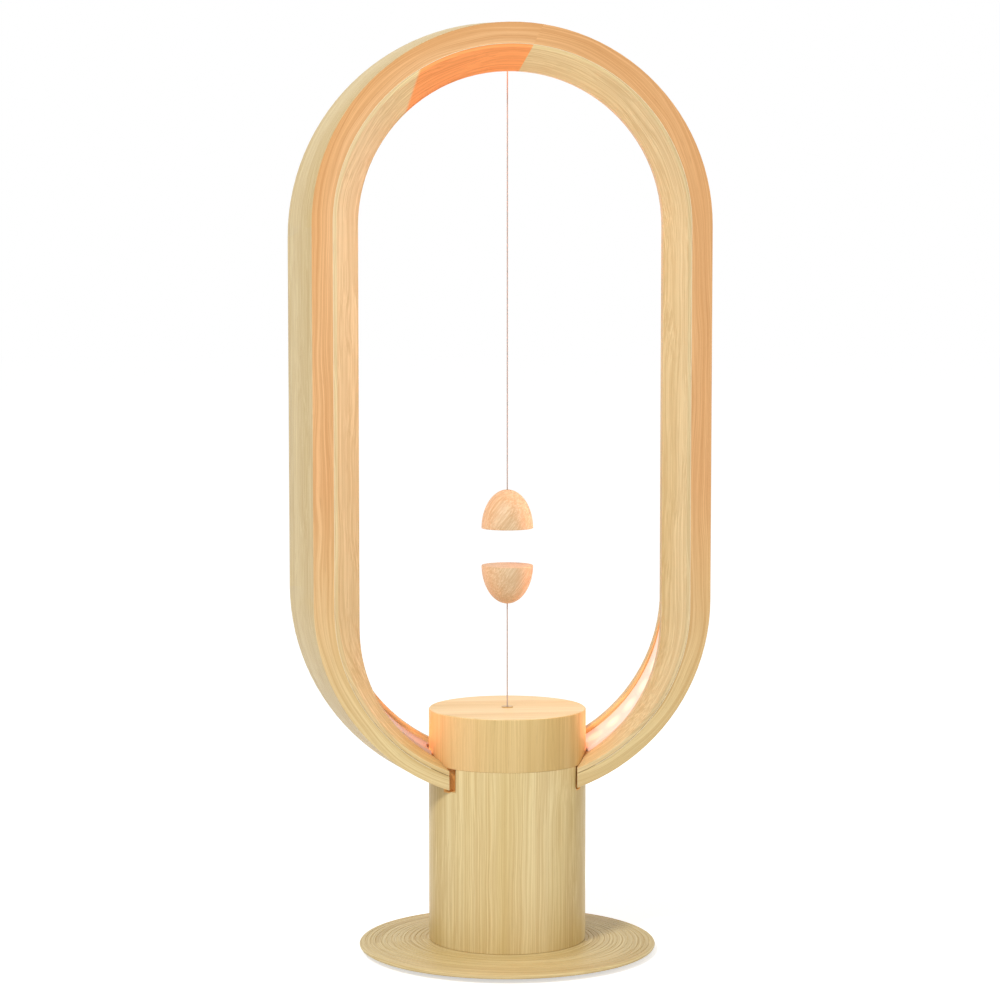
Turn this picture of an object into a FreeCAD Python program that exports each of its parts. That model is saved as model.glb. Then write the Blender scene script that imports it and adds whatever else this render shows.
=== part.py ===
import FreeCAD, Part

import math
import os

from FreeCAD import Matrix, Vector

# A balance lamp in millimetres: a tall wooden hoop stands on a round post, and two half eggs with
# magnets hang face to face on strings inside it. +Z is up, the front faces -Y, and the origin is
# the middle of the underside.

# Fits
glue = 0.1
slip = 0.15
running = 0.06
air = 0.3

# Foot
pad_radius = 55.0
pad_thickness = 0.8
foot_radius = 62.8
foot_rim_low = 1.8
foot_rim_high = 3.6
foot_height = 5.0
foot_spigot = 2.0

# Post
post_radius = 33.2
post_top = 81.4
bore_radius = 24.5
ledge_height = 75.0
ledge_radius = 27.0
cap_height = 22.3
cap_deck = 6.0
cap_wall = 9.2

# Hoop: half widths are measured from the middle to the surface of a straight leg
hoop_depth = 42.0
front_half_width = 83.0
back_half_width = 90.5
front_low_centre = 150.9
front_high_centre = 306.5
back_low_centre = 154.4
back_high_centre = 301.5
opening_half_width = 63.5
opening_low_centre = 139.7
seam_half_width = 74.3
seam_low_centre = 147.6
bevel_depth = 7.0
liner_depth = 12.0
back_lip = 5.0
back_lip_half_width = 69.0
back_lip_low_centre = 150.0
channel_half_width = 75.0
channel_low_centre = 149.0
tenon_width = 16.0
tenon_low = 77.4
tenon_high = 81.3
tenon_inner = 28.2
joint_wall = 24.3
joint_end = 26.9
joint_slack = 0.6
joint_depth = 17.0
joint_low = 71.6

# Light
diffuser_half_width = 69.3
diffuser_low_centre = 148.0
diffuser_thickness = 2.0
diffuser_end_gap = 1.1
strip_end_gap = 2.8
strip_thickness = 0.4
strip_width = 10.0
chip_size = 2.8
chip_height = 1.0
chip_pitch = 11.0

# Hanging half egg and its string
egg_radius = 10.9
egg_height = 16.4
egg_steps = 14
upper_egg_face = 179.8
lower_egg_face = 164.2
magnet_radius = 6.5
magnet_thickness = 4.5
lid_thickness = 1.2
string_radius = 0.3
string_hole = 0.6
knot_radius = 1.1
knot_gap = 0.25
ferrule_radius = 2.0
ferrule_flange = 2.8
ferrule_high = 385.0
ferrule_rim = 0.5
ferrule_mouth = 1.0
ferrule_flare = 0.8
stub_length = 3.1

# Pull switch under the cap
slider_radius = 2.5
slider_length = 13.2
slider_below_cap = 12.0
flange_radius = 4.5
flange_thickness = 1.5
slider_travel = 3.0
guide_radius = 5.0
guide_height = 8.2
plate_thickness = 1.5
lever_pivot_y = 15.0
lever_width = 4.0
lever_thickness = 0.6
lever_tip_y = 3.6
barrel_radius = 1.2
pin_radius = 0.6
switch_height = 11.5
plunger_y = 11.0
plunger_radius = 0.8
spring_wire = 0.25
spring_radius = 3.2
spring_turns = 4
spring_steps = 16
spring_sides = 6

# Inside the post
weight_height = 12.0
tie_count = 3
tie_circle = 20.0
tie_radius = 1.5
tie_head_radius = 2.9
tie_head_height = 1.8
tie_top = 92.0
boss_radius = 3.4
board_radius = 15.0
board_low = 30.0
board_back = 18.0
board_tab_back = 22.3
board_thickness = 1.6
port_width = 9.0
port_height = 3.3
port_depth = 9.5
bezel_border = 1.6
lead_radius = 0.7
lead_x = 14.0
lead_rise = 0.8

front = -hoop_depth / 2
back = hoop_depth / 2
cap_top = post_top + cap_height
diffuser_end_radius = post_radius + diffuser_end_gap
strip_end_radius = post_radius + strip_end_gap
slider_high = cap_top - slider_below_cap
slider_low = slider_high - slider_length
guide_top = ledge_height + guide_height
switch_top = ledge_height + switch_height
port_z = board_low + board_thickness + port_height / 2
slider_flange_low = slider_high - flange_thickness
ferrule_low = front_high_centre + diffuser_half_width - ferrule_rim - slip
swing_height = ferrule_low - stub_length
lever_pivot_z = slider_flange_low - lever_thickness / 2 - glue
tie_top_hole = tie_top + 1.0


def z_cylinder(radius, low, high, x=0.0, y=0.0):
    return Part.makeCylinder(radius, high - low, Vector(x, y, low))


def box(low, high):
    size = [b - a for a, b in zip(low, high)]
    return Part.makeBox(size[0], size[1], size[2], Vector(low[0], low[1], low[2]))


def tube(outer, inner, low, high, x=0.0, y=0.0):
    return z_cylinder(outer, low, high, x, y).cut(z_cylinder(inner, low - 1, high + 1, x, y))


def turned(points):
    outline = Part.makePolygon([Vector(r, 0, z) for r, z in points + points[:1]])
    return Part.Face(outline).revolve(Vector(0, 0, 0), Vector(0, 0, 1), 360)


def stadium(half_width, low_centre, high_centre, y):
    """An upright oval outline: two straight legs joined by half circles."""
    right_low = Vector(half_width, y, low_centre)
    right_high = Vector(half_width, y, high_centre)
    left_high = Vector(-half_width, y, high_centre)
    left_low = Vector(-half_width, y, low_centre)
    crown = Vector(0, y, high_centre + half_width)
    sole = Vector(0, y, low_centre - half_width)
    return Part.Wire([
        Part.LineSegment(right_low, right_high).toShape(),
        Part.Arc(right_high, crown, left_high).toShape(),
        Part.LineSegment(left_high, left_low).toShape(),
        Part.Arc(left_low, sole, right_low).toShape(),
    ])


def oval_plug(half_width, low_centre, high_centre, y_low, y_high):
    face = Part.Face(stadium(half_width, low_centre, high_centre, y_low))
    return face.extrude(Vector(0, y_high - y_low, 0))


def channel_plug(offset, y_low, y_high):
    """A plug that follows the floor of the light channel, grown outward by the offset."""
    return oval_plug(channel_half_width + offset, channel_low_centre, front_high_centre,
                     y_low, y_high)


def diffuser_plug(offset, y_low, y_high):
    return oval_plug(diffuser_half_width + offset, diffuser_low_centre, front_high_centre,
                     y_low, y_high)


def post_keepout(clearance, high=200.0):
    return z_cylinder(post_radius + clearance, 0, high)


def tie_places():
    return [(tie_circle * math.cos(math.radians(a)), tie_circle * math.sin(math.radians(a)))
            for a in [90 + 180 + 360 / tie_count * i for i in range(tie_count)]]


def tenon(side, clearance):
    """The tongue at each end of the hoop that the cap clamps into the post."""
    inner = side * (tenon_inner - clearance)
    outer = side * (post_radius + 2.5)
    half = tenon_width / 2 + clearance
    top = tenon_high if clearance == 0 else post_top + 1
    return box((min(inner, outer), -half, tenon_low - clearance), (max(inner, outer), half, top))


def joint_notch(side):
    """The square notch in the post's front that the end of the hoop stands in."""
    wall = joint_wall if side < 0 else joint_end - joint_slack
    ends = sorted([side * wall, side * 40.0])
    return box((ends[0], -post_radius - 2, joint_low), (ends[1], -joint_depth, post_top + 1))


def hoop_end_trim():
    """Squares off the two ends of the hoop's front face."""
    return box((-joint_end, front - 1, 0), (joint_end, -joint_depth, 120))


def make_hoop_frame():
    outer_front = stadium(front_half_width, front_low_centre, front_high_centre, front)
    outer_back = stadium(back_half_width, back_low_centre, back_high_centre, back)
    frame = Part.makeLoft([outer_front, outer_back], True, True)
    liner_seat = oval_plug(seam_half_width, seam_low_centre, front_high_centre,
                           front - 1, front + liner_depth)
    channel = channel_plug(0, front + liner_depth - 1, back - back_lip)
    back_opening = oval_plug(back_lip_half_width, back_lip_low_centre, front_high_centre,
                             back - back_lip - 1, back + 1)
    frame = frame.cut(liner_seat).cut(channel).cut(back_opening)
    frame = frame.cut(post_keepout(slip)).cut(hoop_end_trim())
    for side in (-1, 1):
        frame = frame.fuse(tenon(side, 0))
    frame = frame.removeSplitter()
    frame = frame.cut(z_cylinder(ferrule_radius + running, 300, ferrule_high + running))
    knot_room = z_cylinder(knot_radius + air, ferrule_high, ferrule_high + 2 * knot_radius + air)
    return frame.cut(knot_room)


def make_front_liner():
    """The bevelled inner half of the front face, which thins out towards the post."""
    body = oval_plug(seam_half_width - glue, seam_low_centre + glue, front_high_centre,
                     front, front + liner_depth - glue)
    bevel = Part.makeLoft([
        stadium(seam_half_width - 1.5, seam_low_centre + 0.5, front_high_centre, front),
        stadium(opening_half_width, opening_low_centre, front_high_centre, front + bevel_depth),
    ], True, True)
    through = oval_plug(opening_half_width, opening_low_centre, front_high_centre,
                        front + bevel_depth - 0.5, back)
    return body.cut(bevel).cut(through).cut(post_keepout(slip)).cut(hoop_end_trim())


def make_diffuser():
    """The opal strip that follows the channel and rises out of it towards the post."""
    y_low = front + liner_depth + glue
    y_high = back - back_lip - glue
    band = diffuser_plug(diffuser_thickness, y_low, y_high)
    band = band.cut(diffuser_plug(0, y_low - 1, y_high + 1))
    band = band.cut(z_cylinder(diffuser_end_radius, 0, 200))
    return band.cut(z_cylinder(ferrule_radius + slip, 300, 400))


def strip_middle():
    return (front + liner_depth + back - back_lip) / 2


def make_light_strip():
    low = strip_middle() - strip_width / 2
    band = channel_plug(-glue, low, low + strip_width)
    band = band.cut(channel_plug(-glue - strip_thickness, low - 1, low + strip_width + 1))
    band = band.cut(z_cylinder(strip_end_radius, 0, 200))
    return band.cut(z_cylinder(ferrule_radius + 2 * slip, 300, 400))


def chip_places():
    """Points and directions at an even pitch along the strip, round the hoop from end to end."""
    radius = channel_half_width - glue - strip_thickness
    leg = front_high_centre - channel_low_centre
    end_angle = math.acos((strip_end_radius + 4) / radius)
    foot_arc = radius * end_angle
    total = 2 * (leg + foot_arc) + math.pi * radius
    count = int(total / chip_pitch / 2) * 2
    places = []
    for i in range(count):
        s = (i + 0.5) * total / count
        if s < foot_arc:
            angle = -end_angle + s / radius
            centre = channel_low_centre
        elif s < foot_arc + leg:
            places.append((radius, channel_low_centre + s - foot_arc, 0.0))
            continue
        elif s < foot_arc + leg + math.pi * radius:
            angle = (s - foot_arc - leg) / radius
            centre = front_high_centre
        elif s < foot_arc + 2 * leg + math.pi * radius:
            z = front_high_centre - (s - foot_arc - leg - math.pi * radius)
            places.append((-radius, z, math.pi))
            continue
        else:
            angle = math.pi + (s - foot_arc - 2 * leg - math.pi * radius) / radius
            centre = channel_low_centre
        places.append((radius * math.cos(angle), centre + radius * math.sin(angle), angle))
    return places


def make_chips():
    """Square light chips on the strip, each standing on it and facing the opening."""
    chips = []
    for x, z, angle in chip_places():
        chip = box((-chip_height, -chip_size / 2, -chip_size / 2), (-running, chip_size / 2,
                                                                    chip_size / 2))
        chip.rotate(Vector(0, 0, 0), Vector(0, -1, 0), math.degrees(angle))
        chip.translate(Vector(x, strip_middle(), z))
        chips.append(chip)
    return Part.makeCompound(chips)


def make_foot():
    profile = [
        (0, pad_thickness), (pad_radius, pad_thickness), (foot_radius - 1.5, foot_rim_low),
        (foot_radius, foot_rim_low + 0.5), (foot_radius, foot_rim_high - 0.5),
        (foot_radius - 0.8, foot_rim_high), (post_radius + 1.5, foot_height), (0, foot_height),
    ]
    foot = turned(profile)
    spigot = z_cylinder(bore_radius - slip, foot_height, foot_height + foot_spigot)
    foot = foot.fuse(spigot)
    for x, y in tie_places():
        foot = foot.cut(z_cylinder(tie_radius + slip, 0, 20, x, y))
        foot = foot.cut(z_cylinder(tie_head_radius + slip, 0, pad_thickness + tie_head_height
                                   + slip, x, y))
    return foot


def make_post_body():
    body = tube(post_radius, bore_radius, foot_height, post_top)
    body = body.cut(z_cylinder(ledge_radius, ledge_height, post_top + 1))
    for side in (-1, 1):
        body = body.cut(tenon(side, slip)).cut(joint_notch(side))
    return body.cut(bezel_block(glue))


def make_cap():
    spigot_low = ledge_height + plate_thickness + glue
    cap = z_cylinder(post_radius, post_top, cap_top)
    cap = cap.makeChamfer(0.5, [e for e in cap.Edges if abs(e.BoundBox.ZMin - cap_top) < 0.01
                                and e.BoundBox.XLength > post_radius])
    cap = cap.fuse(z_cylinder(ledge_radius - slip, spigot_low, post_top))
    room_radius = post_radius - cap_wall
    cap = cap.cut(z_cylinder(room_radius, spigot_low - 1, cap_top - cap_deck))
    for x, y in tie_places():
        boss = z_cylinder(boss_radius, spigot_low, cap_top - cap_deck, x, y)
        cap = cap.fuse(boss.common(z_cylinder(room_radius + 1, 0, 200)))
    for x, y in tie_places():
        cap = cap.cut(z_cylinder(tie_radius + running, spigot_low - 1, tie_top_hole, x, y))
    cap = cap.cut(z_cylinder(ferrule_radius + glue, cap_top - cap_deck - 1, cap_top + 1))
    lead_start = Vector(lead_x + 2, strip_middle(), lead_height())
    return cap.cut(Part.makeCylinder(lead_radius + slip, post_radius, lead_start, Vector(1, 0, 0)))


def flat_face(*corners):
    return Part.Face(Part.makePolygon(list(corners) + [corners[0]]))


def half_egg(face_z, up):
    """A pointed half egg with a magnet pocket in its flat face and a string hole in its tip."""
    outline = []
    for i in range(egg_steps + 1):
        angle = math.pi / 2 * i / egg_steps
        outline.append(Vector(egg_radius * math.cos(angle), 0, egg_height * math.sin(angle)))
    outline[-1] = Vector(0, 0, egg_height)
    outline.append(Vector(0, 0, 0))
    face = flat_face(*outline)
    egg = face.revolve(Vector(0, 0, 0), Vector(0, 0, 1), 360)
    pocket = lid_thickness + glue + magnet_thickness + glue
    egg = egg.cut(z_cylinder(magnet_radius + glue, -1, pocket))
    egg = egg.cut(z_cylinder(knot_radius + 0.2, pocket - 0.5, pocket + 2 * knot_radius + 0.2))
    egg = egg.cut(z_cylinder(string_hole, pocket, egg_height + 1))
    if not up:
        egg.rotate(Vector(0, 0, 0), Vector(1, 0, 0), 180)
    egg.translate(Vector(0, 0, face_z))
    return egg


def face_disc(radius, face_z, up, start, thickness):
    """A disc inside a half egg, from one depth behind its flat face to another."""
    sign = 1 if up else -1
    ends = sorted([face_z + sign * start, face_z + sign * (start + thickness)])
    return z_cylinder(radius, ends[0], ends[1])


def knot_centre(face_z, up):
    sign = 1 if up else -1
    pocket = lid_thickness + glue + magnet_thickness + glue
    return face_z + sign * (pocket + knot_radius + 0.05)


def make_upper_string():
    centre = knot_centre(upper_egg_face, True)
    line = z_cylinder(string_radius, centre, swing_height - knot_gap)
    return line.fuse(Part.makeSphere(knot_radius, Vector(0, 0, centre)))


def make_lower_string():
    centre = knot_centre(lower_egg_face, False)
    line = z_cylinder(string_radius, slider_high - 1.0, centre)
    return line.fuse(Part.makeSphere(knot_radius, Vector(0, 0, centre)))


def make_string_stub():
    """The first few millimetres of the hanging string, which bend at the eyelet."""
    return z_cylinder(string_radius, swing_height + knot_gap, ferrule_low - 0.05)


def make_hanging_knot():
    """The knot that rests on top of the eyelet, with the string that runs down inside it."""
    line = z_cylinder(string_radius, ferrule_low + 0.4, ferrule_high + 1)
    knot = Part.makeSphere(knot_radius, Vector(0, 0, ferrule_high + knot_radius + 0.05))
    return line.fuse(knot)


def make_ferrule():
    body = z_cylinder(ferrule_radius, ferrule_low, ferrule_high)
    body = body.fuse(z_cylinder(ferrule_flange, ferrule_low, ferrule_low + ferrule_rim))
    body = body.cut(z_cylinder(string_hole, ferrule_low - 1, ferrule_high + 1))
    mouth = Part.makeCone(ferrule_mouth + 0.1, string_hole - 0.02, ferrule_flare + 0.1,
                          Vector(0, 0, ferrule_low - 0.1), Vector(0, 0, 1))
    return body.cut(mouth)


def make_grommet():
    """The wooden-toned eyelet in the middle of the cap, where the lower string goes in."""
    low = cap_top - cap_deck
    body = z_cylinder(ferrule_radius, low, cap_top + 0.3)
    body = body.fuse(z_cylinder(ferrule_flange - 0.4, cap_top + 0.02, cap_top + 0.4))
    return body.cut(z_cylinder(string_hole, low - 1, cap_top + 2))


def make_plate():
    low = ledge_height
    plate = z_cylinder(ledge_radius - 2 * slip, low, low + plate_thickness)
    plate = plate.cut(z_cylinder(slider_radius + 1.0, low - 1, low + 5))
    for x, y in tie_places():
        plate = plate.cut(z_cylinder(tie_radius + slip, low - 1, low + 5, x, y))
    lead_hole = z_cylinder(lead_radius + 0.6, low - 1, low + 5, lead_x, strip_middle())
    return plate.cut(lead_hole)


def make_guide():
    low = ledge_height + plate_thickness
    guide = z_cylinder(guide_radius, low, guide_top)
    guide = guide.fuse(z_cylinder(guide_radius + 2.2, low, low + 1.2))
    return guide.cut(z_cylinder(slider_radius + running, low - 1, guide_top + 1))


def make_slider():
    slider = z_cylinder(slider_radius, slider_low, slider_high)
    slider = slider.fuse(z_cylinder(flange_radius, slider_flange_low, slider_high))
    hole = z_cylinder(string_radius + 0.02, slider_high - 1.0, slider_high + 1)
    return slider.cut(hole)


def wire_ring(turn, z):
    """The corners of the spring wire's six-sided section at one angle of its coil."""
    out = Vector(math.cos(turn), math.sin(turn), 0)
    corners = []
    for k in range(spring_sides):
        angle = 2 * math.pi * k / spring_sides
        reach = spring_radius + spring_wire * math.cos(angle)
        corners.append(out * reach + Vector(0, 0, z + spring_wire * math.sin(angle)))
    return corners


def make_spring():
    """The return spring between the cap's deck and the slider's flange, wound in flat facets."""
    low = slider_high + 0.05 + spring_wire
    high = cap_top - cap_deck - 0.05 - spring_wire
    steps = round(spring_turns * spring_steps)
    rings = []
    for i in range(steps + 1):
        rings.append(wire_ring(2 * math.pi * i / spring_steps, low + (high - low) * i / steps))
    faces = [flat_face(*rings[0]), flat_face(*rings[-1])]
    for first, second in zip(rings, rings[1:]):
        for k in range(spring_sides):
            m = (k + 1) % spring_sides
            faces.append(flat_face(first[k], first[m], second[m]))
            faces.append(flat_face(first[k], second[m], second[k]))
    shell = Part.makeShell(faces)
    shell.sewShape()
    coil = Part.Solid(shell)
    if coil.Volume < 0:
        coil.reverse()
    return coil


def lever_ear(side):
    inner = side * (lever_width / 2 + air)
    outer = side * (lever_width / 2 + air + 1.2)
    ear = box((min(inner, outer), lever_pivot_y - 1.6, switch_top - 0.5),
              (max(inner, outer), lever_pivot_y + 1.6, lever_pivot_z + 1.6))
    bore = Part.makeCylinder(pin_radius + 0.02, 20, Vector(-10, lever_pivot_y, lever_pivot_z),
                             Vector(1, 0, 0))
    return ear.cut(bore)


def make_switch_case():
    low = ledge_height + plate_thickness
    case = box((-5.0, 8.4, low), (5.0, 18.0, switch_top))
    case = case.fuse(lever_ear(-1)).fuse(lever_ear(1))
    well = z_cylinder(plunger_radius + running, switch_top - 4.0, switch_top + 1, 0, plunger_y)
    return case.cut(well)


def make_plunger():
    return z_cylinder(plunger_radius, switch_top - 2.4, lever_pivot_z - lever_thickness / 2 - 0.1,
                      0, plunger_y)


def make_lever():
    half = lever_width / 2
    arm = box((-half, lever_tip_y, lever_pivot_z - lever_thickness / 2),
              (half, lever_pivot_y, lever_pivot_z + lever_thickness / 2))
    axis = Vector(1, 0, 0)
    start = Vector(-half, lever_pivot_y, lever_pivot_z)
    lever = arm.fuse(Part.makeCylinder(barrel_radius, lever_width, start, axis))
    return lever.cut(Part.makeCylinder(pin_radius + running, lever_width + 2,
                                       start - Vector(1, 0, 0), axis))


def make_lever_pin():
    half = lever_width / 2 + air + 1.2
    return Part.makeCylinder(pin_radius, 2 * half, Vector(-half, lever_pivot_y, lever_pivot_z),
                             Vector(1, 0, 0))


def make_weight():
    low = foot_height + foot_spigot
    weight = z_cylinder(bore_radius - 2 * slip, low, low + weight_height)
    for x, y in tie_places():
        weight = weight.cut(z_cylinder(tie_radius + slip, low - 1, low + 40, x, y))
    return weight


def make_ties():
    """Long screws that clamp the foot, the post, the hoop's tongues and the cap together."""
    ties = []
    for x, y in tie_places():
        shank = z_cylinder(tie_radius, pad_thickness + 0.1, tie_top, x, y)
        head = z_cylinder(tie_head_radius, pad_thickness + 0.1,
                          pad_thickness + tie_head_height, x, y)
        socket = z_cylinder(1.2, pad_thickness - 0.5, pad_thickness + 1.3, x, y)
        ties.append(shank.fuse(head).cut(socket))
    return Part.makeCompound(ties)


def make_standoffs():
    low = foot_height + foot_spigot + weight_height
    posts = [z_cylinder(2.4, low, board_low, x, y) for x, y in board_corners()]
    return Part.makeCompound(posts)


def board_corners():
    reach = board_radius - 4
    return [(sx * reach, sy * 9.0) for sx in (-1, 1) for sy in (-1, 1)]


def make_board():
    low = board_low
    board = box((-board_radius, -12, low), (board_radius, board_back, low + board_thickness))
    tab = box((-5.0, board_back - 1, low), (5.0, board_tab_back, low + board_thickness))
    board = board.fuse(tab)
    for x, y in tie_places():
        board = board.cut(z_cylinder(tie_radius + 0.8, low - 1, low + 5, x, y))
    return board


def make_board_screws():
    screws = []
    top = board_low + board_thickness
    for x, y in board_corners():
        screws.append(z_cylinder(1.9, top, top + 1.2, x, y))
    return Part.makeCompound(screws)


def make_board_parts():
    top = board_low + board_thickness
    parts = [
        box((-6, -5, top), (1, 2, top + 1.4)),
        box((4, -4, top), (8, 0, top + 2.6)),
        z_cylinder(2.5, top, top + 6.0, -2.5, 7.0),
    ]
    return Part.makeCompound(parts)


def bezel_block(clearance):
    half = port_width / 2 + bezel_border + clearance
    tall = port_height / 2 + bezel_border + clearance
    return box((-half, bore_radius - 2.0, port_z - tall), (half, post_radius + 2, port_z + tall))


def slot_block(width, height, y_low, y_high):
    """A flat slot with round ends, along Y through the wall at the back."""
    radius = height / 2
    straight = width / 2 - radius
    slot = box((-straight, y_low, port_z - radius), (straight, y_high, port_z + radius))
    for side in (-1, 1):
        end = Part.makeCylinder(radius, y_high - y_low, Vector(side * straight, y_low, port_z),
                                Vector(0, 1, 0))
        slot = slot.fuse(end)
    return slot


def make_bezel():
    bezel = bezel_block(0).common(z_cylinder(post_radius - 0.4, 0, 100))
    return bezel.cut(slot_block(port_width, port_height, 0, post_radius + 5))


def make_port_shell():
    y_high = post_radius - 1.2
    y_low = y_high - port_depth
    width = port_width - 2 * glue
    height = port_height - 2 * glue
    shell = slot_block(width, height, y_low, y_high)
    return shell.cut(slot_block(width - 0.6, height - 0.6, y_low + 1.0, y_high + 1))


def make_port_tongue():
    y_low = post_radius - 1.2 - port_depth + 1.0
    half = port_width / 2 - 1.8
    return box((-half, y_low, port_z - 0.35), (half, y_low + port_depth - 2.2, port_z + 0.35))


def lead_height():
    """The lead leaves just above the end of the light strip."""
    radius = channel_half_width - glue - strip_thickness
    return channel_low_centre - math.sqrt(radius ** 2 - strip_end_radius ** 2) + lead_rise


def make_lead():
    """The lead from the end of the light strip through the cap's wall and down to the board."""
    y = strip_middle()
    bend = 5.0
    slack = bend * (1 - math.cos(math.pi / 4))
    top = lead_height()
    a = Vector(strip_end_radius - 0.3, y, top)
    b = Vector(lead_x + bend, y, top)
    mid = Vector(lead_x + slack, y, top - slack)
    c = Vector(lead_x, y, top - bend)
    d = Vector(lead_x, y, board_low + board_thickness)
    path = Part.Wire([
        Part.LineSegment(a, b).toShape(),
        Part.Arc(b, mid, c).toShape(),
        Part.LineSegment(c, d).toShape(),
    ])
    ring = Part.Wire(Part.makeCircle(lead_radius, a, Vector(-1, 0, 0)))
    return path.makePipeShell([ring], True, True)


nodes = {
    "base_pad": z_cylinder(pad_radius - 1.0, 0, pad_thickness),
    "base_disc": make_foot(),
    "base_weight": make_weight(),
    "tie_screws": make_ties(),
    "post_body": make_post_body(),
    "post_cap": make_cap(),
    "hoop_frame": make_hoop_frame(),
    "hoop_front_liner": make_front_liner(),
    "light_diffuser": make_diffuser(),
    "light_strip": make_light_strip(),
    "light_chips": make_chips(),
    "strip_lead": make_lead(),
    "top_ferrule": make_ferrule(),
    "hanging_knot": make_hanging_knot(),
    "string_stub": make_string_stub(),
    "upper_string": make_upper_string(),
    "upper_half_egg": half_egg(upper_egg_face, True),
    "upper_magnet": face_disc(magnet_radius, upper_egg_face, True, lid_thickness + glue,
                              magnet_thickness),
    "upper_egg_lid": face_disc(magnet_radius, upper_egg_face, True, 0, lid_thickness),
    "lower_half_egg": half_egg(lower_egg_face, False),
    "lower_magnet": face_disc(magnet_radius, lower_egg_face, False, lid_thickness + glue,
                              magnet_thickness),
    "lower_egg_lid": face_disc(magnet_radius, lower_egg_face, False, 0, lid_thickness),
    "lower_string": make_lower_string(),
    "cap_grommet": make_grommet(),
    "switch_plate": make_plate(),
    "slider_guide": make_guide(),
    "pull_slider": make_slider(),
    "return_spring": make_spring(),
    "switch_case": make_switch_case(),
    "switch_plunger": make_plunger(),
    "switch_lever": make_lever(),
    "lever_pin": make_lever_pin(),
    "circuit_board": make_board(),
    "board_standoffs": make_standoffs(),
    "board_screws": make_board_screws(),
    "board_parts": make_board_parts(),
    "port_bezel": make_bezel(),
    "port_shell": make_port_shell(),
    "port_tongue": make_port_tongue(),
}

os.makedirs("parts", exist_ok=True)
for name, shape in nodes.items():
    shape.exportStep("parts/" + name + ".step")
    print(name, len(shape.Solids), shape.isValid(), round(shape.Volume, 1))
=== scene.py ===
import math

import bmesh
import bpy
from mathutils import Matrix, Vector


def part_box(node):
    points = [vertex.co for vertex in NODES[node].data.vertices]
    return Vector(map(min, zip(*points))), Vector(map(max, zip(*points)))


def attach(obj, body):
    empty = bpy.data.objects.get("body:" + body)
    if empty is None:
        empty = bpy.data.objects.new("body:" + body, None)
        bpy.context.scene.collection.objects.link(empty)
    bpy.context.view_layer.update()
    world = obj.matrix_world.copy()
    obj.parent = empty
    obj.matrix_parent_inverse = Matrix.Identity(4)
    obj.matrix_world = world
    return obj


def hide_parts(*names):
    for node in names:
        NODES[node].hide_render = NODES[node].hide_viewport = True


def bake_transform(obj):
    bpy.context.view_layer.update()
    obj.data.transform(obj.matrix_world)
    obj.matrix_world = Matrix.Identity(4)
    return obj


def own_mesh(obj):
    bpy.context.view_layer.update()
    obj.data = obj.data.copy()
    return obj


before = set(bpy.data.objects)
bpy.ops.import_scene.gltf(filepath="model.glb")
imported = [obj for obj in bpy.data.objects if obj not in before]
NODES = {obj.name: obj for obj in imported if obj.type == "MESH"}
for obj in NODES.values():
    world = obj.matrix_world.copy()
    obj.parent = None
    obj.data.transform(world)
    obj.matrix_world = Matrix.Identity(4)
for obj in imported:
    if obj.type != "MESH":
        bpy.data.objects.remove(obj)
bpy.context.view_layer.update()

# Lengths are in metres. X is right, Y is back and Z is up from the underside of the foot.

# Camera: a little to the left of the lamp, and looking slightly down on it
CAMERA_DISTANCE = 1.28
CAMERA_AZIMUTH = math.radians(-7.2)
CAMERA_HEIGHT = 0.305
CAMERA_AIM = Vector((-0.0031, 0.0, 0.1917))
CAMERA_LENS = 110.0

# The hoop's round ends: the heights of their centres and their radius
HOOP_LOW = 0.150
HOOP_HIGH = 0.3065
HOOP_RADIUS = 0.078
POST_RADIUS = 0.0332
# The middle of the light strip lies this far behind the hoop's middle plane
STRIP_DEPTH = 0.0035


def placed(name, data):
    """A new object in the scene that holds this data."""
    piece = bpy.data.objects.new(name, data)
    bpy.context.scene.collection.objects.link(piece)
    return piece


def make_camera():
    data = bpy.data.cameras.new("camera")
    data.lens = CAMERA_LENS
    camera = placed("camera", data)
    camera.location = (CAMERA_DISTANCE * math.sin(CAMERA_AZIMUTH),
                       -CAMERA_DISTANCE * math.cos(CAMERA_AZIMUTH), CAMERA_HEIGHT)
    look = CAMERA_AIM - camera.location
    camera.rotation_euler = look.to_track_quat("-Z", "Y").to_euler()
    bpy.context.scene.camera = camera


make_camera()


# ---- Materials

WHITE = (1.0, 1.0, 1.0)


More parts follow.
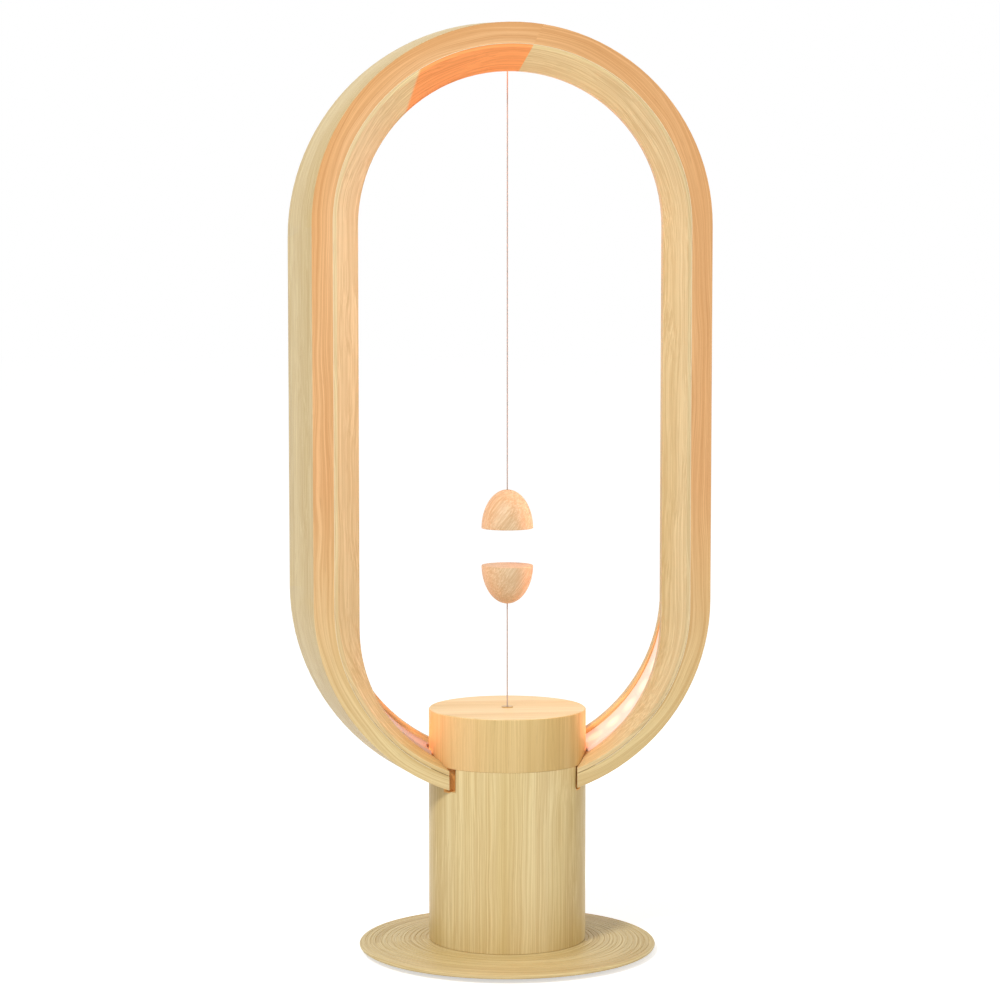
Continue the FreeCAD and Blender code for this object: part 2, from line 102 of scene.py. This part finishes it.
class Nodes:
    """Builds one material's node tree in few words."""

    def __init__(self, name):
        self.material = bpy.data.materials.new(name)
        self.material.use_nodes = True
        self.tree = self.material.node_tree
        self.shader = self.tree.nodes["Principled BSDF"]
        self.place = self.tree.nodes.new("ShaderNodeTexCoord").outputs["Object"]

    def put(self, socket, value):
        if isinstance(value, bpy.types.NodeSocket):
            self.tree.links.new(value, socket)
        elif value is not None:
            socket.default_value = value

    def add(self, kind, **settings):
        node = self.tree.nodes.new(kind)
        for key, value in settings.items():
            setattr(node, key, value)
        return node

    def math(self, operation, a, b=None, clamp=False):
        node = self.add("ShaderNodeMath", operation=operation, use_clamp=clamp)
        for socket, value in zip(node.inputs, (a, b)):
            self.put(socket, value)
        return node.outputs[0]

    def plus(self, a, b):
        return self.math("ADD", a, b)

    def minus(self, a, b):
        return self.math("SUBTRACT", a, b)

    def times(self, a, b):
        return self.math("MULTIPLY", a, b)

    def above(self, a, b):
        return self.math("GREATER_THAN", a, b)

    def below(self, a, b):
        return self.math("LESS_THAN", a, b)

    def hypot(self, a, b):
        return self.math("SQRT", self.plus(self.times(a, a), self.times(b, b)))

    def parts(self, vector=None):
        node = self.add("ShaderNodeSeparateXYZ")
        self.put(node.inputs[0], vector or self.place)
        return node.outputs[0], node.outputs[1], node.outputs[2]

    def facing(self):
        """The three parts of the surface's own direction."""
        return self.parts(self.add("ShaderNodeTexCoord").outputs["Normal"])

    def join(self, x, y, z):
        node = self.add("ShaderNodeCombineXYZ")
        for socket, value in zip(node.inputs, (x, y, z)):
            self.put(socket, value)
        return node.outputs[0]

    def noise(self, vector, scale, detail, roughness):
        node = self.add("ShaderNodeTexNoise")
        self.put(node.inputs["Vector"], vector)
        node.inputs["Scale"].default_value = scale
        node.inputs["Detail"].default_value = detail
        node.inputs["Roughness"].default_value = roughness
        return node.outputs["Fac"]

    def ramp(self, value, stops):
        node = self.add("ShaderNodeValToRGB")
        self.put(node.inputs[0], value)
        for element, (at, colour) in zip(node.color_ramp.elements, stops):
            element.position = at
            element.color = (*colour, 1.0)
        return node.outputs[0]

    def mix(self, share, a, b, blend="MIX"):
        node = self.add("ShaderNodeMix", data_type="RGBA", blend_type=blend)
        self.put(node.inputs[0], share)
        for socket, value in ((node.inputs[6], a), (node.inputs[7], b)):
            self.put(socket, (*value, 1.0) if isinstance(value, tuple) else value)
        return node.outputs[2]

    def fit(self, value, low, high, to_low=0.0, to_high=1.0):
        """The value's place between low and high, as a number from to_low to to_high."""
        node = self.add("ShaderNodeMapRange")
        self.put(node.inputs[0], value)
        for socket, number in zip(node.inputs[1:5], (low, high, to_low, to_high)):
            socket.default_value = number
        return node.outputs[0]

    def bump(self, height, distance):
        node = self.add("ShaderNodeBump")
        node.inputs["Strength"].default_value = 1.0
        node.inputs["Distance"].default_value = distance
        self.put(node.inputs["Height"], height)
        self.put(self.shader.inputs["Normal"], node.outputs[0])


def scaled(colour, by):
    return tuple(min(1.0, c * by) for c in colour)


def cover(material, *names):
    for name in names:
        slots = NODES[name].data.materials
        slots.clear()
        slots.append(material)


# The crown's joint: it leans over above JOINT_FOOT, and crosses JOINT_MIDDLE at JOINT_ACROSS
JOINT_FOOT = 0.350
JOINT_MIDDLE = 0.372
JOINT_LEAN = 0.5
JOINT_ACROSS = 0.004


def crown_joint(n, x, z):
    """Below zero on the hoop's left half. The two halves join slantwise at the crown."""
    rise = n.minus(n.math("MAXIMUM", z, JOINT_FOOT), JOINT_MIDDLE)
    return n.minus(n.minus(x, n.times(rise, JOINT_LEAN)), JOINT_ACROSS)


def along_hoop(n):
    """Coordinates that follow the hoop: along it, out from its middle, from front to back, and
    minus or plus one for its two halves."""
    x, y, z = n.parts()
    leg = n.math("MINIMUM", n.math("MAXIMUM", z, HOOP_LOW), HOOP_HIGH)
    rise = n.minus(z, leg)
    side = n.math("ABSOLUTE", x)
    turn = n.math("ARCTAN2", rise, side)
    run = n.plus(leg, n.times(turn, HOOP_RADIUS))
    half = n.math("SIGN", crown_joint(n, x, z))
    return run, n.hypot(rise, side), y, half


# Each grain gives its coordinates along the grain, across it and through it. The bare offsets
# only move a piece's pattern, so that neighbours differ.

def hoop_grain(n):
    run, out, y, half = along_hoop(n)
    return n.plus(run, n.times(half, 3.7)), n.plus(out, n.times(half, 0.37)), y


def upright_grain(n):
    x, y, z = n.parts()
    return z, x, y


def cap_grain(n):
    """Upright grain round the side, and grain from side to side across the flat top."""
    x, y, z = n.parts()
    top = n.above(n.facing()[2], 0.7)
    side = n.minus(1.0, top)

    def pick(flat, upright):
        return n.plus(n.times(flat, top), n.times(upright, side))

    return pick(x, n.plus(z, 1.9)), pick(y, n.plus(x, 0.011)), pick(z, y)


def turned_grain(n):
    """Grain that runs round the foot, as fine turned rings show it."""
    x, y, z = n.parts()
    mean_radius = 0.045
    return n.times(n.math("ARCTAN2", y, x), mean_radius), n.hypot(x, y), z


def egg_grain(n):
    """Grain that runs slantwise over the egg."""
    x, y, z = n.parts()
    sine, cosine = 0.57, 0.82
    along = n.plus(n.times(x, sine), n.times(z, cosine))
    across = n.minus(n.times(x, cosine), n.times(z, sine))
    return along, across, y


# The wood's layers: stretch along, across and through the grain, then detail and roughness
WANDER = ((11.0, 45.0, 45.0), 2.0, 0.5)
BROAD = ((3.0, 58.0, 50.0), 3.0, 0.5)
RINGS = ((5.0, 300.0, 240.0), 3.0, 0.6)
LINES = ((9.0, 1800.0, 1800.0), 3.0, 0.7)
PORES = ((110.0, 3600.0, 3600.0), 2.0, 0.6)
WANDER_REACH = 0.012
# How much of a layer's colour shows where the layer is strongest
RING_SHARE = 0.32
DARK_LINE_SHARE = 0.44
PALE_LINE_SHARE = 0.45
PORE_SHARE = 0.20


def wood(name, grain, tones, figure=1.0, bump=0.00010, tint=None, strength=1.0):
    """Clear-oiled pale wood. Figure bends the grain, and strength is that of its fine lines."""
    n = Nodes(name)
    along, across, through = grain(n)
    pale, mid, dark = tones

    def layer(kind, sideways):
        stretch, detail, roughness = kind
        spread = [n.times(part, by) for part, by in zip((along, sideways, through), stretch)]
        return n.noise(n.join(*spread), 1.0, detail, roughness)

    wander = n.minus(layer(WANDER, across), 0.5)
    bent = n.plus(across, n.times(wander, WANDER_REACH * figure))
    broad, rings, lines, pores = (layer(kind, bent) for kind in (BROAD, RINGS, LINES, PORES))
    base = n.ramp(broad, [(0.32, mid), (0.62, pale)])
    for share, colour in (
            (n.fit(rings, 0.50, 0.70, 0.0, RING_SHARE), dark),
            (n.fit(lines, 0.38, 0.58, DARK_LINE_SHARE * strength, 0.0), dark),
            (n.fit(lines, 0.52, 0.68, 0.0, PALE_LINE_SHARE * strength), scaled(pale, 1.18)),
            (n.fit(pores, 0.60, 0.72, 0.0, PORE_SHARE), scaled(dark, 0.6))):
        base = n.mix(share, base, colour)
    # A tint multiplies painted light and shade into the wood's colour
    if tint:
        base = n.mix(1.0, base, tint(n, broad), "MULTIPLY")
    n.put(n.shader.inputs["Base Color"], base)
    n.put(n.shader.inputs["Roughness"], n.fit(lines, 0.3, 0.7, 0.58, 0.40))
    n.bump(n.plus(n.times(lines, 0.6), n.times(pores, -0.4)), bump)
    n.shader.inputs["Coat Weight"].default_value = 0.10
    n.shader.inputs["Coat Roughness"].default_value = 0.35
    n.shader.inputs["Specular IOR Level"].default_value = 0.30
    return n.material


# Each tint gets the wood's nodes and its broad figure, and gives a colour that multiplies the
# wood's own. White leaves it as it is. Most tints paint light and shade into the wood: the strip's
# warm glow and the shade where it falls short.

def hoop_painted_glow_and_shade(n, broad):
    """Painted light and shade on the hoop: the strip's warm glow is painted as a peach tone on the
    front face above its foot, and painted shade makes its right half deeper.
    """
    x, _, z = n.parts()
    # Painted glow: a peach tone on the front face that fades in above the foot
    front = n.below(n.facing()[1], -0.75)
    share = n.times(front, n.fit(z, 0.09, 0.20))
    share = n.times(share, n.fit(broad, 0.35, 0.6, 1.0, 0.85))
    # Painted shade: the right half, which gets less of the strip's glow, is deeper
    half = n.mix(n.fit(x, 0.0, 0.03), (1.0, 0.98, 0.96), (0.94, 0.90, 0.84))
    return n.mix(1.0, half, n.mix(share, WHITE, (1.07, 0.75, 0.68)), "MULTIPLY")


def liner_painted_glow_and_shade(n, broad):
    """Painted light and shade on the liner: a paler left leg where the strip's glow falls, painted
    shade that dulls the right one, and the strip's deep orange glow painted into the key light's
    shadow left of the crown's joint, ending in a slanted edge.
    """
    x, _, z = n.parts()
    # Painted light on the left leg, painted shade on the right one
    tone = n.mix(n.fit(x, -0.045, -0.06), WHITE, (1.01, 1.0, 1.08))
    tone = n.mix(n.fit(x, 0.03, 0.06), tone, (0.93, 0.93, 0.98))
    # Painted glow and shadow: a deep orange patch left of the crown's joint, cut off by a slanted
    # line
    crown = n.times(n.above(z, 0.34), n.below(crown_joint(n, x, z), 0.0))
    slant = n.plus(x, n.times(z, -0.3))
    crown = n.times(crown, n.fit(slant, -0.1500, -0.1490))
    return n.mix(crown, tone, (1.24, 0.62, 0.36))


def cap_pale_top_and_painted_glow(n, broad):
    """The flat top of the cap is paler than its side. The strip's warm glow is painted onto the
    side: a bright salmon towards the hoop's left end and a deeper, darker orange towards its right
    end.
    """
    x = n.parts()[0]
    # Painted glow from the strip on the cap's side, left and right
    side = n.mix(n.fit(x, -0.010, -0.030), (0.95, 0.91, 0.81), (1.16, 0.98, 0.90))
    side = n.mix(n.fit(x, 0.005, 0.033), side, (0.92, 0.81, 0.63))
    return n.mix(n.above(n.facing()[2], 0.7), side, (1.04, 1.16, 1.30))


def notch_painted_shade(n, broad):
    """Painted shade: the cut faces inside the notches for the hoop's ends get the warm brown of the
    shaded gap beside each end.
    """
    _, y, z = n.parts()
    # Painted shade on the notches' cut faces, which lie in the shaded gap
    inside = n.times(n.above(y, -0.0198), n.below(y, -0.0165))
    return n.mix(n.times(inside, n.above(z, 0.071)), WHITE, (1.30, 0.90, 0.55))


MOTTLE = 0.08


def plain(name, colour, rough=0.5, metal=0.0, grain=180.0, bump=0.00004):
    """A moulded, plated or painted surface with a little mottle."""
    n = Nodes(name)
    mottle = n.noise(n.place, grain, 4.0, 0.6)
    n.put(n.shader.inputs["Base Color"], n.ramp(mottle, [(0.3, scaled(colour, 1.0 - MOTTLE)),
                                                         (0.7, scaled(colour, 1.0 + MOTTLE))]))
    n.put(n.shader.inputs["Roughness"],
          n.fit(mottle, 0.3, 0.7, rough * 0.85, min(1.0, rough * 1.15)))
    n.shader.inputs["Metallic"].default_value = metal
    n.bump(mottle, bump)
    return n.material


CHIP_PITCH = 0.011
SPOT_REACH = 0.0075


def glow(name):
    """Opal silicone with the light chips showing through as warm spots at an even pitch, and
    dimmer at the hoop's left foot, where a browner base colour is painted shade."""
    n = Nodes(name)
    run, _, y, _ = along_hoop(n)
    wave = n.math("ABSOLUTE", n.minus(n.math("FRACT", n.math("DIVIDE", run, CHIP_PITCH)), 0.5))
    depth = n.math("DIVIDE", n.math("ABSOLUTE", n.minus(y, STRIP_DEPTH)), SPOT_REACH)
    spot = n.hypot(n.times(wave, 2.0), depth)
    warm = n.fit(spot, 0.15, 1.0, 1.0, 0.0)
    x, _, z = n.parts()
    dim = n.times(n.fit(x, -0.02, 0.02, 1.0, 0.0), n.fit(z, 0.16, 0.12))
    strength = n.times(n.fit(warm, 0.0, 1.0, 0.42, 0.62), n.fit(dim, 0.0, 1.0, 1.0, 0.14))
    n.shader.inputs["Roughness"].default_value = 0.45
    n.put(n.shader.inputs["Emission Color"], n.mix(warm, (1.0, 0.56, 0.46), (1.0, 0.84, 0.56)))
    n.put(n.shader.inputs["Emission Strength"], strength)
    # Painted shade: a browner base colour at the dim left foot
    n.put(n.shader.inputs["Base Color"], n.mix(dim, (0.78, 0.56, 0.47), (0.64, 0.41, 0.30)))
    return n.material


PALE = (0.76, 0.62, 0.33)
MID = (0.62, 0.46, 0.18)
DARK = (0.50, 0.31, 0.10)

hoop_wood = wood("hoop_wood", hoop_grain, (PALE, MID, DARK), tint=hoop_painted_glow_and_shade)
liner_wood = wood("liner_wood", hoop_grain,
                  ((0.78, 0.61, 0.32), (0.67, 0.49, 0.21), (0.50, 0.31, 0.11)),
                  figure=1.3, tint=liner_painted_glow_and_shade)
post_wood = wood("post_wood", upright_grain, (PALE, MID, DARK),
                 figure=0.6, tint=notch_painted_shade, strength=0.85)
cap_wood = wood("cap_wood", cap_grain, ((0.79, 0.61, 0.32), (0.70, 0.51, 0.22), DARK),
                figure=0.6, tint=cap_pale_top_and_painted_glow, strength=0.5)
base_wood = wood("base_wood", turned_grain, (PALE, MID, (0.44, 0.28, 0.10)), bump=0.00016)
egg_wood = wood("egg_wood", egg_grain,
                ((0.77, 0.58, 0.37), (0.68, 0.45, 0.24), (0.55, 0.30, 0.12)), figure=0.7)

cover(hoop_wood, "hoop_frame")
cover(liner_wood, "hoop_front_liner")
cover(post_wood, "post_body")
cover(cap_wood, "post_cap")
cover(base_wood, "base_disc")
cover(egg_wood, "upper_half_egg", "lower_half_egg", "upper_egg_lid", "lower_egg_lid")
cover(glow("diffuser_glow"), "light_diffuser")
cover(plain("brass", (0.62, 0.44, 0.20), 0.35, 1.0), "top_ferrule", "cap_grommet",
      "board_standoffs")
cover(plain("plated_steel", (0.55, 0.55, 0.56), 0.35, 1.0), "tie_screws", "switch_plate",
      "base_weight", "board_screws", "lever_pin", "switch_lever", "return_spring", "port_shell")
cover(plain("nickel", (0.70, 0.69, 0.67), 0.18, 1.0), "upper_magnet", "lower_magnet")
cover(plain("black_rubber", (0.03, 0.03, 0.03), 0.8), "base_pad")
cover(plain("white_plastic", (0.80, 0.80, 0.77), 0.45), "slider_guide", "pull_slider",
      "light_strip", "strip_lead")
cover(plain("black_plastic", (0.03, 0.03, 0.032), 0.45), "switch_case", "board_parts",
      "port_tongue")
cover(plain("red_plastic", (0.55, 0.05, 0.04), 0.4), "switch_plunger")
cover(plain("green_board", (0.02, 0.17, 0.06), 0.35), "circuit_board")
cover(plain("yellow_chip", (0.90, 0.75, 0.20), 0.4), "light_chips")
cover(plain("tan_plastic", (0.62, 0.45, 0.25), 0.45), "port_bezel")

line_finish = plain("braided_line", (0.48, 0.40, 0.36), 0.75, grain=2600.0, bump=0.00003)


# ---- Softened edges of the CAD pieces

WELD_REACH = 0.00001
SHARP_ANGLE = math.radians(40)


def soften(name, width, segments=3):
    """Rounds the sharp edges of a turned or planed piece."""
    piece = NODES[name]
    weld = piece.modifiers.new("weld", "WELD")
    weld.merge_threshold = WELD_REACH
    bevel = piece.modifiers.new("bevel", "BEVEL")
    bevel.width = width
    bevel.segments = segments
    bevel.limit_method = "ANGLE"
    bevel.angle_limit = SHARP_ANGLE


soften("post_body", 0.0004)
soften("post_cap", 0.0004)
soften("hoop_frame", 0.00028)
soften("hoop_front_liner", 0.00012, 2)
soften("upper_egg_lid", 0.00015)
soften("lower_egg_lid", 0.00015)


# ---- Strings and their knots

STRING_RADIUS = 0.0003
STRAND_RADIUS = 0.00016
STRANDS = 3
TWIST_PITCH = 0.0016
TWIST_STEPS = 10
ROUTE_POINTS = 7
KNOT_SIZE = 0.00075
KNOT_STEPS = 72
# A string ends inside its knot, this far from the end of its CAD node
KNOT_INSET = 0.0011


def spline_points(name, points):
    """The route's own smooth line, as points close together."""
    curve = bpy.data.curves.new(name + "_route", "CURVE")
    curve.dimensions = "3D"
    spline = curve.splines.new("NURBS")
    spline.points.add(len(points) - 1)
    for point, place in zip(spline.points, points):
        point.co = (*place, 1.0)
    spline.order_u = 3
    spline.use_endpoint_u = True
    curve.resolution_u = 8
    route = bpy.data.objects.new(name + "_route", curve)
    line = bpy.data.meshes.new_from_object(route)
    found = [v.co.copy() for v in line.vertices]
    bpy.data.objects.remove(route)
    bpy.data.meshes.remove(line)
    return found


def tube_mesh(name, runs, radius, cyclic=False, sides=2):
    """Round tubes along several runs of points, as one mesh."""
    curve = bpy.data.curves.new(name, "CURVE")
    curve.dimensions = "3D"
    curve.bevel_depth = radius
    curve.bevel_resolution = sides
    curve.use_fill_caps = True
    for run in runs:
        spline = curve.splines.new("POLY")
        spline.points.add(len(run) - 1)
        for point, place in zip(spline.points, run):
            point.co = (*place, 1.0)
        spline.use_cyclic_u = cyclic
    holder = bpy.data.objects.new(name, curve)
    mesh = bpy.data.meshes.new_from_object(holder)
    bpy.data.objects.remove(holder)
    mesh.name = name
    for face in mesh.polygons:
        face.use_smooth = True
    return placed(name, mesh)


def twisted_line(name, high, low):
    """Three strands laid round each other along a straight hanging line."""
    route = [(0.0, 0.0, high + (low - high) * i / (ROUTE_POINTS - 1)) for i in range(ROUTE_POINTS)]
    line = spline_points(name, route)
    steps = int((high - low) / TWIST_PITCH * TWIST_STEPS)
    reach = STRING_RADIUS - STRAND_RADIUS
    runs = []
    for strand in range(STRANDS):
        run = []
        for i in range(steps + 1):
            share = i / steps * (len(line) - 1)
            k = min(int(share), len(line) - 2)
            centre = line[k].lerp(line[k + 1], share - k)
            angle = 2 * math.pi * (i / TWIST_STEPS + strand / STRANDS)
            run.append(centre + Vector((reach * math.cos(angle), reach * math.sin(angle), 0.0)))
        runs.append(run)
    piece = tube_mesh(name, runs, STRAND_RADIUS)
    piece.data.materials.append(line_finish)
    return piece, line


def knot(name, height, body):
    """A tight overhand knot in the string, where it's held, laid along a trefoil curve."""
    run = []
    for i in range(KNOT_STEPS):
        t = 2 * math.pi * i / KNOT_STEPS
        run.append(KNOT_SIZE * 0.42 * Vector((math.sin(t) + 1.6 * math.sin(2 * t),
                                              math.cos(t) - 1.6 * math.cos(2 * t),
                                              -1.1 * math.sin(3 * t))) + Vector((0, 0, height)))
    piece = tube_mesh(name, [run], STRING_RADIUS, cyclic=True)
    piece.data.materials.append(line_finish)
    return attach(piece, body)


STUB_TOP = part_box("string_stub")[1].z
UPPER_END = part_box("upper_string")[0].z + KNOT_INSET
LOWER_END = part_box("lower_string")[1].z - KNOT_INSET
LOWER_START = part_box("lower_string")[0].z + 0.001

upper_knot = knot("upper_egg_knot", UPPER_END, "upper_half")
lower_knot = knot("lower_egg_knot", LOWER_END, "lower_half")
top_knot = knot("top_string_knot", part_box("hanging_knot")[1].z - KNOT_INSET, "lamp")
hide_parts("hanging_knot")

upper_line, upper_route = twisted_line("upper_twisted_string", STUB_TOP, UPPER_END)
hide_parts("upper_string", "string_stub")
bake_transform(upper_line)

lower_line, lower_route = twisted_line("lower_twisted_string", LOWER_END, LOWER_START)
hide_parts("lower_string")
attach(lower_line, "slider")
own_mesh(lower_line)


# ---- Turned pieces

def spun(name, outline, material, body, steps):
    """A round piece, spun once round the upright axis from its outline."""
    shape = bmesh.new()
    points = [shape.verts.new((r, 0.0, z)) for r, z in outline]
    edges = [shape.edges.new(pair) for pair in zip(points, points[1:] + points[:1])]
    bmesh.ops.spin(shape, geom=points + edges, cent=(0, 0, 0), axis=(0, 0, 1),
                   angle=2 * math.pi, steps=steps, use_merge=True)
    bmesh.ops.recalc_face_normals(shape, faces=shape.faces)
    # The spin leaves the same faces in another order each run, so they are put in order
    shape.verts.index_update()
    faces = []
    for face in shape.faces:
        corners = [v.index for v in face.verts]
        first = corners.index(min(corners))
        faces.append(corners[first:] + corners[:first])
    mesh = bpy.data.meshes.new(name)
    mesh.from_pydata([v.co for v in shape.verts], [], sorted(faces))
    shape.free()
    for face in mesh.polygons:
        face.use_smooth = True
    mesh.set_sharp_from_angle(angle=math.radians(35))
    piece = placed(name, mesh)
    mesh.materials.append(material)
    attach(piece, body)
    return piece


EGG_LINES = 40
EGG_STEPS = 96
# The rounding of the rim, the radius of the string's hole, and the air round the lid
EGG_EDGE = 0.00022
EGG_EDGE_LINES = 4
EGG_HOLE = 0.0006
LID_GAP = 0.00008


def turned_egg(node, lid, magnet, body, up):
    """A half egg with a smooth turned side, a softened rim and its open magnet pocket."""
    low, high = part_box(node)
    radius = high.x
    height = high.z - low.z
    face = low.z if up else high.z
    sign = 1.0 if up else -1.0
    pocket_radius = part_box(lid)[1].x + LID_GAP
    pocket = abs((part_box(magnet)[1].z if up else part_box(magnet)[0].z) - face) + LID_GAP
    # The outline runs from the flat face over the rim and the side to the hole and the pocket
    outline = [(pocket_radius, 0.0)]
    for i in range(EGG_EDGE_LINES + 1):
        angle = math.pi / 2 * i / EGG_EDGE_LINES
        outline.append((radius - EGG_EDGE + EGG_EDGE * math.sin(angle),
                        EGG_EDGE - EGG_EDGE * math.cos(angle)))
    for i in range(1, EGG_LINES):
        angle = math.pi / 2 * i / EGG_LINES
        across, along = radius * math.cos(angle), height * math.sin(angle)
        if across > EGG_HOLE * 1.6 and along > EGG_EDGE * 1.5:
            outline.append((across, along))
    outline += [(EGG_HOLE * 1.25, height - 0.00006), (EGG_HOLE, height - 0.0004),
                (EGG_HOLE, pocket), (pocket_radius, pocket)]
    outline = [(r, face + sign * z) for r, z in outline]
    piece = spun("turned_" + node, outline, egg_wood, body, EGG_STEPS)
    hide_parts(node)


turned_egg("upper_half_egg", "upper_egg_lid", "upper_magnet", "upper_half", True)
turned_egg("lower_half_egg", "lower_egg_lid", "lower_magnet", "lower_half", False)

FOOT_STEPS = 160
# The foot's hole for the spigot, its flat underside, and the heights of its rim and its top
FOOT_BORE = 0.0245
FOOT_FLAT = 0.0550
RIM_LOW = 0.0018
RIM_HIGH = 0.0036
FOOT_TOP = 0.0050
RIM_ROUND = 0.0010
RIM_LINES = 8
# The turned grooves: depth, mean pitch, and how far and how fast the pitch varies
GROOVE = 0.00020
GROOVE_PITCH = 0.0019
PITCH_SWAY = 0.22
SWAY_RATE = 2600.0


def turned_base():
    """The round foot, turned with fine grooves and soft edges, spun from one outline."""
    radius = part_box("base_disc")[1].x
    pad_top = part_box("base_pad")[1].z
    outline = [(FOOT_BORE, pad_top), (FOOT_FLAT, pad_top), (radius - 0.0015, RIM_LOW)]
    middle = (RIM_LOW + RIM_HIGH) / 2
    for i in range(RIM_LINES + 1):
        angle = math.pi * (i / RIM_LINES - 0.5)
        outline.append((radius - RIM_ROUND + RIM_ROUND * math.cos(angle),
                        middle + 0.00088 * math.sin(angle)))
    slope = (FOOT_TOP - RIM_HIGH) / (radius - 0.0347)
    at = radius - 0.0022
    while at > POST_RADIUS + 0.0006:
        height = RIM_HIGH + (radius - at) * slope - 0.00002
        for step, drop in ((0.0, 0.0), (0.00012, GROOVE), (0.00030, GROOVE), (0.00042, 0.0)):
            outline.append((at - step, height - drop))
        at -= GROOVE_PITCH * (1.0 + PITCH_SWAY * math.sin(at * SWAY_RATE))
    outline += [(POST_RADIUS - 0.0010, FOOT_TOP), (FOOT_BORE, FOOT_TOP)]
    foot = spun("turned_foot", outline, base_wood, "lamp", FOOT_STEPS)
    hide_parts("base_disc")


turned_base()


# ---- The pale bead between hoop and liner, a painted highlight along the seam

# Its radius round both ends, the centre of its lower end, how near to the middle it ends, and
# the radius of its bead
SEAM_HALF = 0.0743
SEAM_LOW = 0.1476
SEAM_END = 0.0345
SEAM_BEAD = 0.00013


def seam_highlight_bead():
    """A pale bead over the seam between the hoop and its liner, along the front: it covers the gap,
    and its pale colour is a painted highlight.
    """
    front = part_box("hoop_frame")[0].y
    low_angle = math.acos(SEAM_END / SEAM_HALF)
    run = []
    for start, swing, steps, centre in ((-low_angle, low_angle, 32, SEAM_LOW),
                                        (0.0, math.pi, 64, HOOP_HIGH),
                                        (math.pi, low_angle, 32, SEAM_LOW)):
        for i in range(steps + 1):
            angle = start + swing * i / steps
            run.append((SEAM_HALF * math.cos(angle), front, centre + SEAM_HALF * math.sin(angle)))
    piece = tube_mesh("seam_painted_highlight_line", [run], SEAM_BEAD, sides=1)
    # Painted highlight: the bead's pale colour
    piece.data.materials.append(plain("painted_highlight_line", (0.88, 0.74, 0.48), 0.5))
    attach(piece, "lamp")


seam_highlight_bead()


# ---- Stage and lights

FLOOR_SIZE = 6.0
FLOOR_DROP = 0.0002
FLOOR_LIFT = 0.57
WORLD_LIGHT = 0.52


def make_floor():
    """A white floor that keeps the lamp's soft shadow."""
    shape = bmesh.new()
    bmesh.ops.create_grid(shape, x_segments=1, y_segments=1, size=FLOOR_SIZE)
    mesh = bpy.data.meshes.new("floor")
    shape.to_mesh(mesh)
    shape.free()
    floor = placed("floor", mesh)
    floor.location = (0.0, 0.0, -FLOOR_DROP)
    n = Nodes("floor_white")
    n.shader.inputs["Base Color"].default_value = (0.82, 0.82, 0.82, 1.0)
    n.shader.inputs["Roughness"].default_value = 0.9
    n.shader.inputs["Specular IOR Level"].default_value = 0.0
    seen = n.add("ShaderNodeLightPath").outputs
    shown = n.plus(seen["Is Camera Ray"], seen["Is Glossy Ray"])
    shown = n.math("ADD", shown, seen["Is Transmission Ray"], clamp=True)
    n.put(n.shader.inputs["Emission Color"], (*WHITE, 1.0))
    n.put(n.shader.inputs["Emission Strength"], n.times(shown, FLOOR_LIFT))
    mesh.materials.append(n.material)


def make_world():
    """A white world, which lights the lamp less than it shows."""
    world = bpy.data.worlds.new("studio")
    bpy.context.scene.world = world
    world.use_nodes = True
    tree = world.node_tree
    back = tree.nodes["Background"]
    back.inputs["Color"].default_value = (*WHITE, 1.0)
    seen = tree.nodes.new("ShaderNodeLightPath")
    strength = tree.nodes.new("ShaderNodeMapRange")
    strength.inputs["To Min"].default_value = WORLD_LIGHT
    strength.inputs["To Max"].default_value = 1.0
    either = tree.nodes.new("ShaderNodeMath")
    either.operation = "MAXIMUM"
    tree.links.new(seen.outputs["Is Camera Ray"], either.inputs[0])
    tree.links.new(seen.outputs["Is Glossy Ray"], either.inputs[1])
    tree.links.new(either.outputs[0], strength.inputs["Value"])
    tree.links.new(strength.outputs[0], back.inputs["Strength"])


def area_lamp(name, size, power, colour):
    data = bpy.data.lights.new(name, "AREA")
    data.shape = "RECTANGLE"
    data.size, data.size_y = size
    data.energy = power
    data.color = colour
    return placed(name, data)


def studio_lamp(name, place, aim, size, power, colour=WHITE):
    lamp = area_lamp(name, size, power, colour)
    lamp.location = place
    lamp.rotation_euler = (Vector(aim) - Vector(place)).to_track_quat("-Z", "Y").to_euler()


GLOW_RADIUS = 0.0685
GLOW_WIDTH = 0.022
GLOW_MIDDLE = 0.227
GLOW_FOOT = 0.148
LEG_GLOW = (1.0, 0.44, 0.32)
ARCH_GLOW = (1.0, 0.30, 0.08)
FOOT_GLOW = (1.0, 0.36, 0.16)


def glow_lamp(name, angle, height, length, power, colour):
    """A warm strip lamp that stands for the light that the opal strip sends across the hoop."""
    outward = Vector((math.cos(angle), 0.0, math.sin(angle)))
    side = Vector((0.0, 1.0, 0.0))
    turn = Matrix((side, outward.cross(side), outward)).transposed().to_4x4()
    place = Vector((0.0, STRIP_DEPTH, height)) + outward * GLOW_RADIUS
    lamp = area_lamp(name, (GLOW_WIDTH, length), power, colour)
    lamp.matrix_world = Matrix.Translation(place) @ turn
    lamp.visible_camera = False


make_floor()
make_world()
studio_lamp("key", (-0.75, -1.1, 1.35), (0, 0, 0.2), (0.28, 0.28), 17.0, (1.0, 0.99, 0.97))
studio_lamp("fill", (1.3, -1.0, 0.5), (0, 0, 0.2), (1.2, 1.2), 5.0)
glow_lamp("leg_glow_right", 0.0, GLOW_MIDDLE, 0.155, 0.085, LEG_GLOW)
glow_lamp("leg_glow_left", math.pi, GLOW_MIDDLE, 0.155, 0.008, LEG_GLOW)
for step in range(5):
    glow_lamp(f"arch_glow_{step}", math.radians(18 + 36 * step), HOOP_HIGH, 0.040, 0.020, ARCH_GLOW)
for name, angle, power in (("right_high", -20, 0.008), ("right_low", -48, 0.008),
                           ("left_high", 200, 0.006), ("left_low", 228, 0.006)):
    glow_lamp("foot_glow_" + name, math.radians(angle), GLOW_FOOT, 0.034, power, FOOT_GLOW)

bpy.context.scene.view_settings.view_transform = "Standard"
